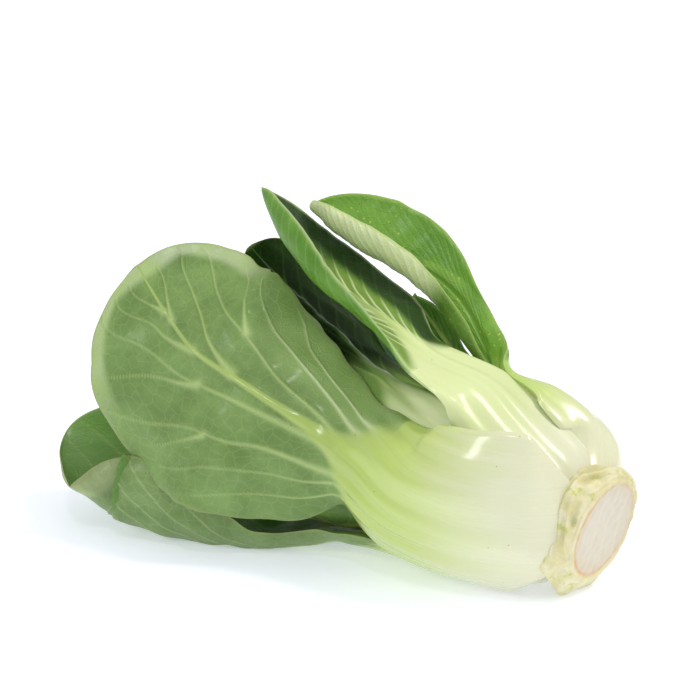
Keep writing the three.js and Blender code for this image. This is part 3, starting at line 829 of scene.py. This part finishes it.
young = leafMaterial("young heart leaf, yellow-green", {
    **greens, "dark": "#86a544", "light": "#a9c25c", "innerDark": "#6f9a34", "innerLight": "#93b84a"})
for i in range(heart["count"]):
    leafPiece(f"heart_leaf_{i + 1}", young)


# The stub of the stem, in mm.
stump = {
    "node": "stem_base",
    "faceRows": 40, "rimRows": 8, "sideRows": 120, "around": 260,
    "dish": 0.9, "dishPower": 0.7,       # depth of the cut face's hollow, and its shape
    "rimRound": 0.8, "rimClear": 1.2,    # the side's rows start this many rim radii on
    "tip": 0.3,                          # radius where the stump ends in the crown
    "sideFrom": 2.5,                     # s over which the rough side takes over from the cut
    # knobbles of the collar: height, radius they are laid out on, size and share of two kinds
    "lumps": 1.7, "radius": 17, "broad": [15, 0.62], "fine": [5, 0.3],
    "lumpsFrom": 0.75, "faceLumps": 0.35, "lumpsEnd": [14, 20],
    "scars": [[5.2, 0.4, 1.2], [9.5, 0.5, 1.3]],  # s, depth and width of the leaf scars
    "scarWander": [1.3, 0.7],
    # torn feet of old leaves: way round from the back over the top, s, height and breadth
    "bits": [[232, 7, 3.2, 18], [256, 6, 3.4, 18], [205, 9, 2.5, 18], [282, 4, 3.6, 22],
             [150, 8, 2, 20]],
    "bitLong": 3.5,
    "knifeMarks": 0.12, "knifeSize": 4,
    # the cut face's colour up to these shares of the radius, and s
    "cutUpTo": [0.86, 0.9], "cutDeep": 3,
    # dried line round the cut and the haze beside it: share of the radius, width and strength
    "dry": [[0.87, 0.75, 1], [0.8, 2.6, 0.28]],
    "dryDeep": 2.2, "drySides": [0.7, 0.3],  # s, and strength over the top and less behind
    "dipDeep": 1.2,          # depth of a dip that has its full colour
    "seed": 41,
}


# The stump as rows of rings. On the cut face r runs from 0 to the rim and the face sinks by
# dish * (1 - (r / R)^2)^dishPower; on the side r follows the profile, with seeded lumps, ring
# scars and bits added.
def stumpPiece(material):
    rows = np.array(head["rimProfile"] + [[head["crownEnd"], stump["tip"]]], float)
    radius = rows[0, 1]
    rim = radius - stump["rimRound"]
    turn = -np.arange(stump["around"]) / stump["around"] * 2 * np.pi  # so that faces point out
    share = np.linspace(0, 1, stump["faceRows"])[1:, None]
    bend = np.linspace(0, np.pi / 2, stump["rimRows"])[1:, None]
    line = smoothLine(rows, np.linspace(0, 1, stump["sideRows"]))
    line = line[line[:, 0] > stump["rimRound"] * stump["rimClear"]]
    s = np.concatenate([stump["dish"] * (1 - share ** 2) ** stump["dishPower"],
                        stump["rimRound"] * (1 - np.cos(bend)), line[:, :1]]) + 0 * turn
    r = np.concatenate([rim * share, rim + stump["rimRound"] * np.sin(bend), line[:, 1:]]) + 0 * turn
    onSide = ease(0, stump["sideFrom"], s) * (r > rim)

    ringX, ringY = stump["radius"] * np.cos(turn), stump["radius"] * np.sin(turn)
    (broad, broadShare), (fine, fineShare) = stump["broad"], stump["fine"]
    lumps = (broadShare * swells(ringX + 0 * s, ringY + s, broad, stump["seed"])
             + fineShare * swells(ringX + s, ringY - s, fine, stump["seed"] + 1))
    grow = stump["lumps"] * lumps * (stump["faceLumps"] + (1 - stump["faceLumps"]) * onSide)
    grow = grow * ease(stump["lumpsFrom"], 1, r / rim)
    slow, quick = stump["scarWander"]
    for place, depth, width in stump["scars"]:
        wander = place + slow * np.sin(2 * turn + place) + quick * np.sin(5 * turn + 2 * place)
        grow = grow - depth * np.exp(-((s - wander) / width) ** 2) * onSide
    for way, place, high, wide in stump["bits"]:
        off = np.degrees(turn - np.radians(way) + np.pi) % 360 - 180
        bit = np.exp(-(off / wide) ** 2 - ((s - place) / stump["bitLong"]) ** 2)
        grow = grow + high * bit * onSide
    grow = grow * (1 - ease(*stump["lumpsEnd"], s))
    marks = swells(r * np.cos(turn), r * np.sin(turn), stump["knifeSize"], stump["seed"] + 2)
    r = r + grow
    x = -(s + stump["knifeMarks"] * marks * (1 - onSide))
    y, z = r * np.cos(turn), r * np.sin(turn)
    points = tipped(np.stack([slanted(x, y), y, z], -1)).reshape(-1, 3)
    ends = tipped(np.array([[-stump["dish"], 0, 0], [-head["crownEnd"], 0, 0]]))
    points = np.vstack([points, ends]) + cutFace
    points[:, 2] = np.maximum(points[:, 2], 0)

    # a value for each point: the rings', and the two ends'
    def skin(values):
        return np.concatenate([values.ravel(), values[[0, -1]].mean(1)])

    onCut = (1 - onSide) * (s < stump["cutDeep"])
    dry = [strength * np.exp(-((r - place * radius) / width) ** 2)
           for place, width, strength in stump["dry"]]
    sides, less = stump["drySides"]
    attributes = {
        "cut": skin(onCut * (1 - ease(*stump["cutUpTo"], r / radius))),
        "rim": skin(np.maximum(*dry) * (s < stump["dryDeep"]) * (sides - less * np.cos(turn))),
        "low": skin(np.clip(-grow / stump["dipDeep"], 0, 1)),
    }
    uv = np.stack([skin(y), skin(z + s)], -1)
    addPiece("stump", points, tubeFaces(len(s), stump["around"]), uv, attributes,
             material, stump["node"])


# Scales of the stump's patterns in mm, how much each shows, and its colours.
flesh = {
    "blotch": 5, "crumb": 1.1, "lime": 3.5, "pore": 1.4,
    "poreShows": 0.15, "limeShows": 0.75, "dipShows": 0.5, "crumbShows": 0.7, "tanShows": 0.85,
    "face": "#cfc8b2", "faceLight": "#d3ccba", "faceFibre": "#c4bb9c",
    "collar": "#d2cb98", "collarLight": "#dcd7b4", "limeSpot": "#b4bf5e", "dip": "#b7b476",
    "brown": "#8d7a48", "tan": "#c99345",
}


# Cut stem: a wet fibrous core, cream with a tan dried line round it, and a knobbly collar of
# old leaf scars, cream with lime and brown specks.
def stumpMaterial():
    material, tree, surface = bareMaterial("cut stem and its scarred collar")
    place = addNode(tree, "TexCoord", {}, "Object")
    cut, rim, dips = (addNode(tree, "Attribute", {}, "Fac", attribute_name=key)
                      for key in ("cut", "rim", "low"))
    blotch, crumb, lime = (
        addNode(tree, "TexNoise", {"Vector": place, "Scale": 1000 / flesh[key], "Detail": detail,
                "Roughness": roughness})
        for key, detail, roughness in (("blotch", 5.0, 0.6), ("crumb", 4.0, 0.5), ("lime", 2.0, 0.5)))
    pore = addNode(tree, "TexVoronoi", {"Vector": place, "Scale": 1000 / flesh["pore"]}, "Distance")

    pored = addNode(tree, "MapRange", {0: pore, 1: 0.0, 2: 0.25, 3: 1.0, 4: 0.0}, **smooth)
    faceBlotch, collarBlotch, limed, crumbed = (
        addNode(tree, "MapRange", {0: pattern, 1: low, 2: high}, **smooth)
        for pattern, low, high in ((blotch, 0.35, 0.65), (blotch, 0.38, 0.62),
                                   (lime, 0.58, 0.7), (crumb, 0.7, 0.77)))
    face = painted(tree, flesh["face"], [[faceBlotch, 1, flesh["faceLight"]],
                                         [pored, flesh["poreShows"], flesh["faceFibre"]]])
    collar = painted(tree, flesh["collar"], [
        [collarBlotch, 1, flesh["collarLight"]], [limed, flesh["limeShows"], flesh["limeSpot"]],
        [dips, flesh["dipShows"], flesh["dip"]], [crumbed, flesh["crumbShows"], flesh["brown"]]])
    uneven = addNode(tree, "MapRange", {0: blotch, 1: 0.3, 2: 0.62, 3: 0.4, 4: 1.0}, **smooth)
    dried = addNode(tree, "Math", {0: rim, 1: uneven}, operation="MULTIPLY")
    colour = painted(tree, collar, [[cut, 1, face], [dried, flesh["tanShows"], flesh["tan"]]])

    relief = heaped(tree, [[crumb, 0.35], [pore, 0.25]])
    bump = addNode(tree, "Bump", {"Strength": 0.6, "Distance": 0.0005, "Height": relief})
    rough = addNode(tree, "MapRange", {0: blotch, 1: 0.3, 2: 0.7, 3: 0.38, 4: 0.55}, **smooth)
    skin = addNode(tree, "BsdfPrincipled", {
        "Base Color": colour, "Roughness": rough, "Normal": bump, "IOR": 1.4,
        "Subsurface Weight": 0.15, "Subsurface Radius": (1.0, 0.8, 0.4), "Subsurface Scale": 0.002,
    })
    tree.links.new(skin, surface)
    return material


stumpPiece(stumpMaterial())
print("head made")


studio = {
    "floor": "#eceff8", "floorSide": 8, "floorRough": 0.9,
    "floorGlow": 0.42,       # the floor is a pale light table
    "world": "#ffffff", "worldStrength": 0.66,
    # where each softbox stands from the head's middle, its side, power in watts and colour
    "softboxes": [["key", (0.75, 0.35, 1.25), 0.34, 10, "#fffaf2"],
                  ["spark", (0.25, -0.7, 1.1), 0.07, 1.2, "#ffffff"],
                  ["fill", (-0.4, -1.3, 0.9), 0.3, 3.5, "#f5f8ff"]],
    "softboxesTo": (0, 0, 0.05),
    "lens": 148.1,
    "cameraFrom": (339.3, -738.5, 271.9),   # mm from the middle of the cut face
    "cameraTo": (-95.4, 14.4, 39.0),
}


def aimed(thing, place, target):
    thing.location = place
    thing.rotation_euler = (Vector(target) - Vector(place)).to_track_quat("-Z", "Y").to_euler()
    bpy.context.scene.collection.objects.link(thing)


paperMaterial, tree, surface = bareMaterial("pale paper sweep")
paper = addNode(tree, "BsdfPrincipled", {
    "Base Color": studio["floor"], "Roughness": studio["floorRough"],
    "Emission Color": studio["floor"], "Emission Strength": studio["floorGlow"],
})
tree.links.new(paper, surface)
half = studio["floorSide"] / 2
floorMesh = bpy.data.meshes.new("floor")
corners = [(-half, -half, 0), (half, -half, 0), (half, half, 0), (-half, half, 0)]
floorMesh.from_pydata(corners, [], [(0, 1, 2, 3)])
floorMesh.materials.append(paperMaterial)
floor = bpy.data.objects.new("floor", floorMesh)
bpy.context.scene.collection.objects.link(floor)

world = bpy.data.worlds.new("studio")
world.use_nodes = True
sky = world.node_tree.nodes["Background"]
sky.inputs["Color"].default_value = linear(studio["world"])
sky.inputs["Strength"].default_value = studio["worldStrength"]
bpy.context.scene.world = world
for name, place, side, power, code in studio["softboxes"]:
    light = bpy.data.lights.new(name, "AREA")
    light.shape = "SQUARE"
    light.size = side
    light.energy = power
    light.color = linear(code)[:3]
    aimed(bpy.data.objects.new(name, light), place, studio["softboxesTo"])

camera = bpy.data.cameras.new("camera")
camera.sensor_width = 36
camera.lens = studio["lens"]
eye = bpy.data.objects.new("camera", camera)
aimed(eye, (cutFace + studio["cameraFrom"]) / 1000, (cutFace + studio["cameraTo"]) / 1000)
bpy.context.scene.camera = eye
bpy.context.scene.view_settings.view_transform = "Standard"
print("studio set")
